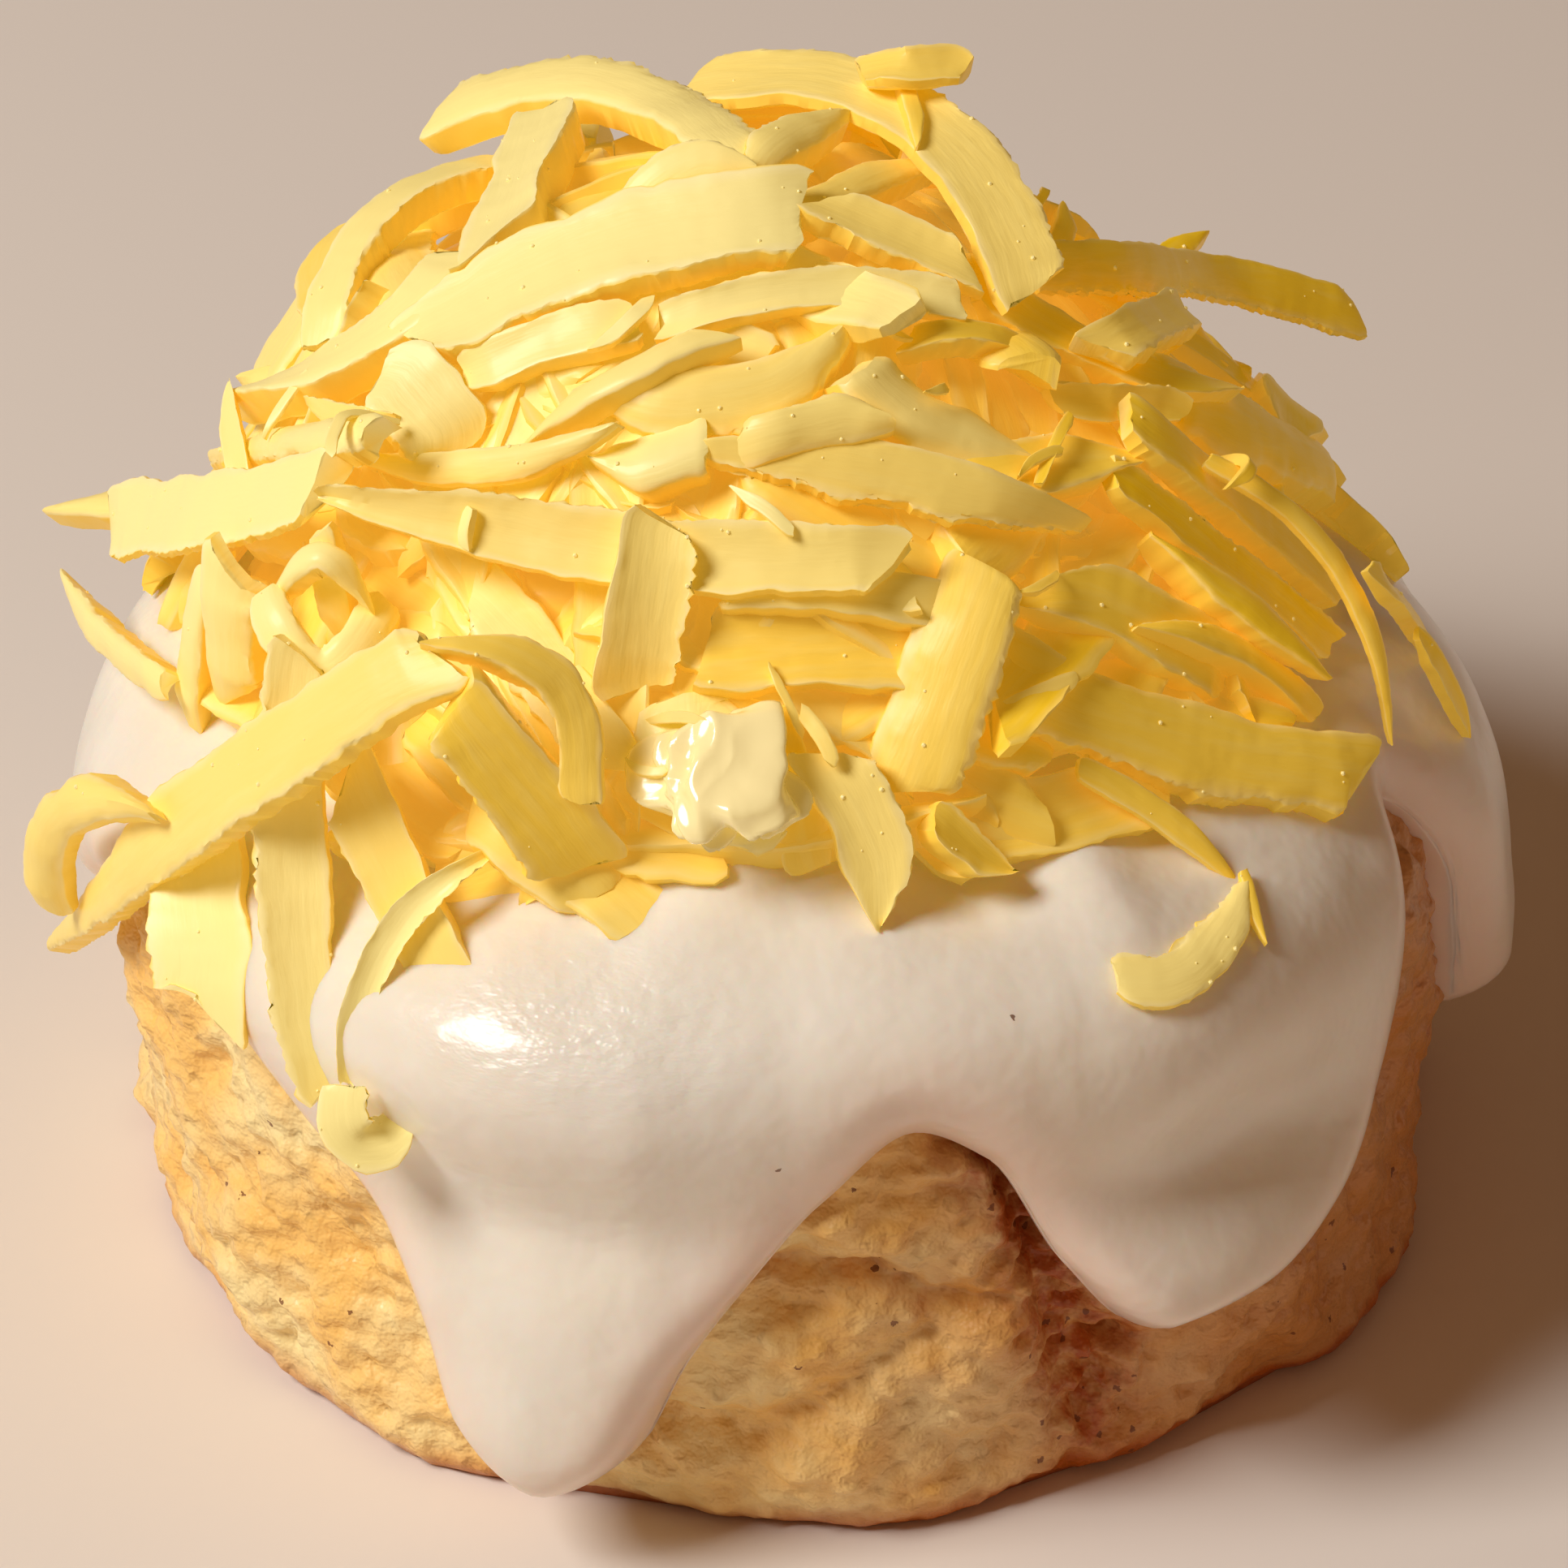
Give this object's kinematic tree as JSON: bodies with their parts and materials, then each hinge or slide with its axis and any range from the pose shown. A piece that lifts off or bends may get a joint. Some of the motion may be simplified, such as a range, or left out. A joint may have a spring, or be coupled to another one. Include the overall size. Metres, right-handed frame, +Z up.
{
  "type": "iced cheese roll",
  "caption": "Squat soft bun under thick white icing that runs down its sides in drips, topped with a tall heap of coarsely grated yellow cheese.",
  "frame": {"origin": "centre of the flat base", "axes": "+Z up, -Y towards the front with the two long icing runs, +X to the right as seen from the front"},
  "size_m": [0.0914, 0.0902, 0.0722],
  "materials": {
    "crumb_crust": "soft baked crust, golden tan",
    "icing": "glossy off-white icing",
    "cheese": "moist yellow grated cheese"
  },
  "bodies": {
    "root": {"bun": "crumb_crust", "icing": "icing", "cheese_heap": "cheese"}
  },
  "joints": []
}
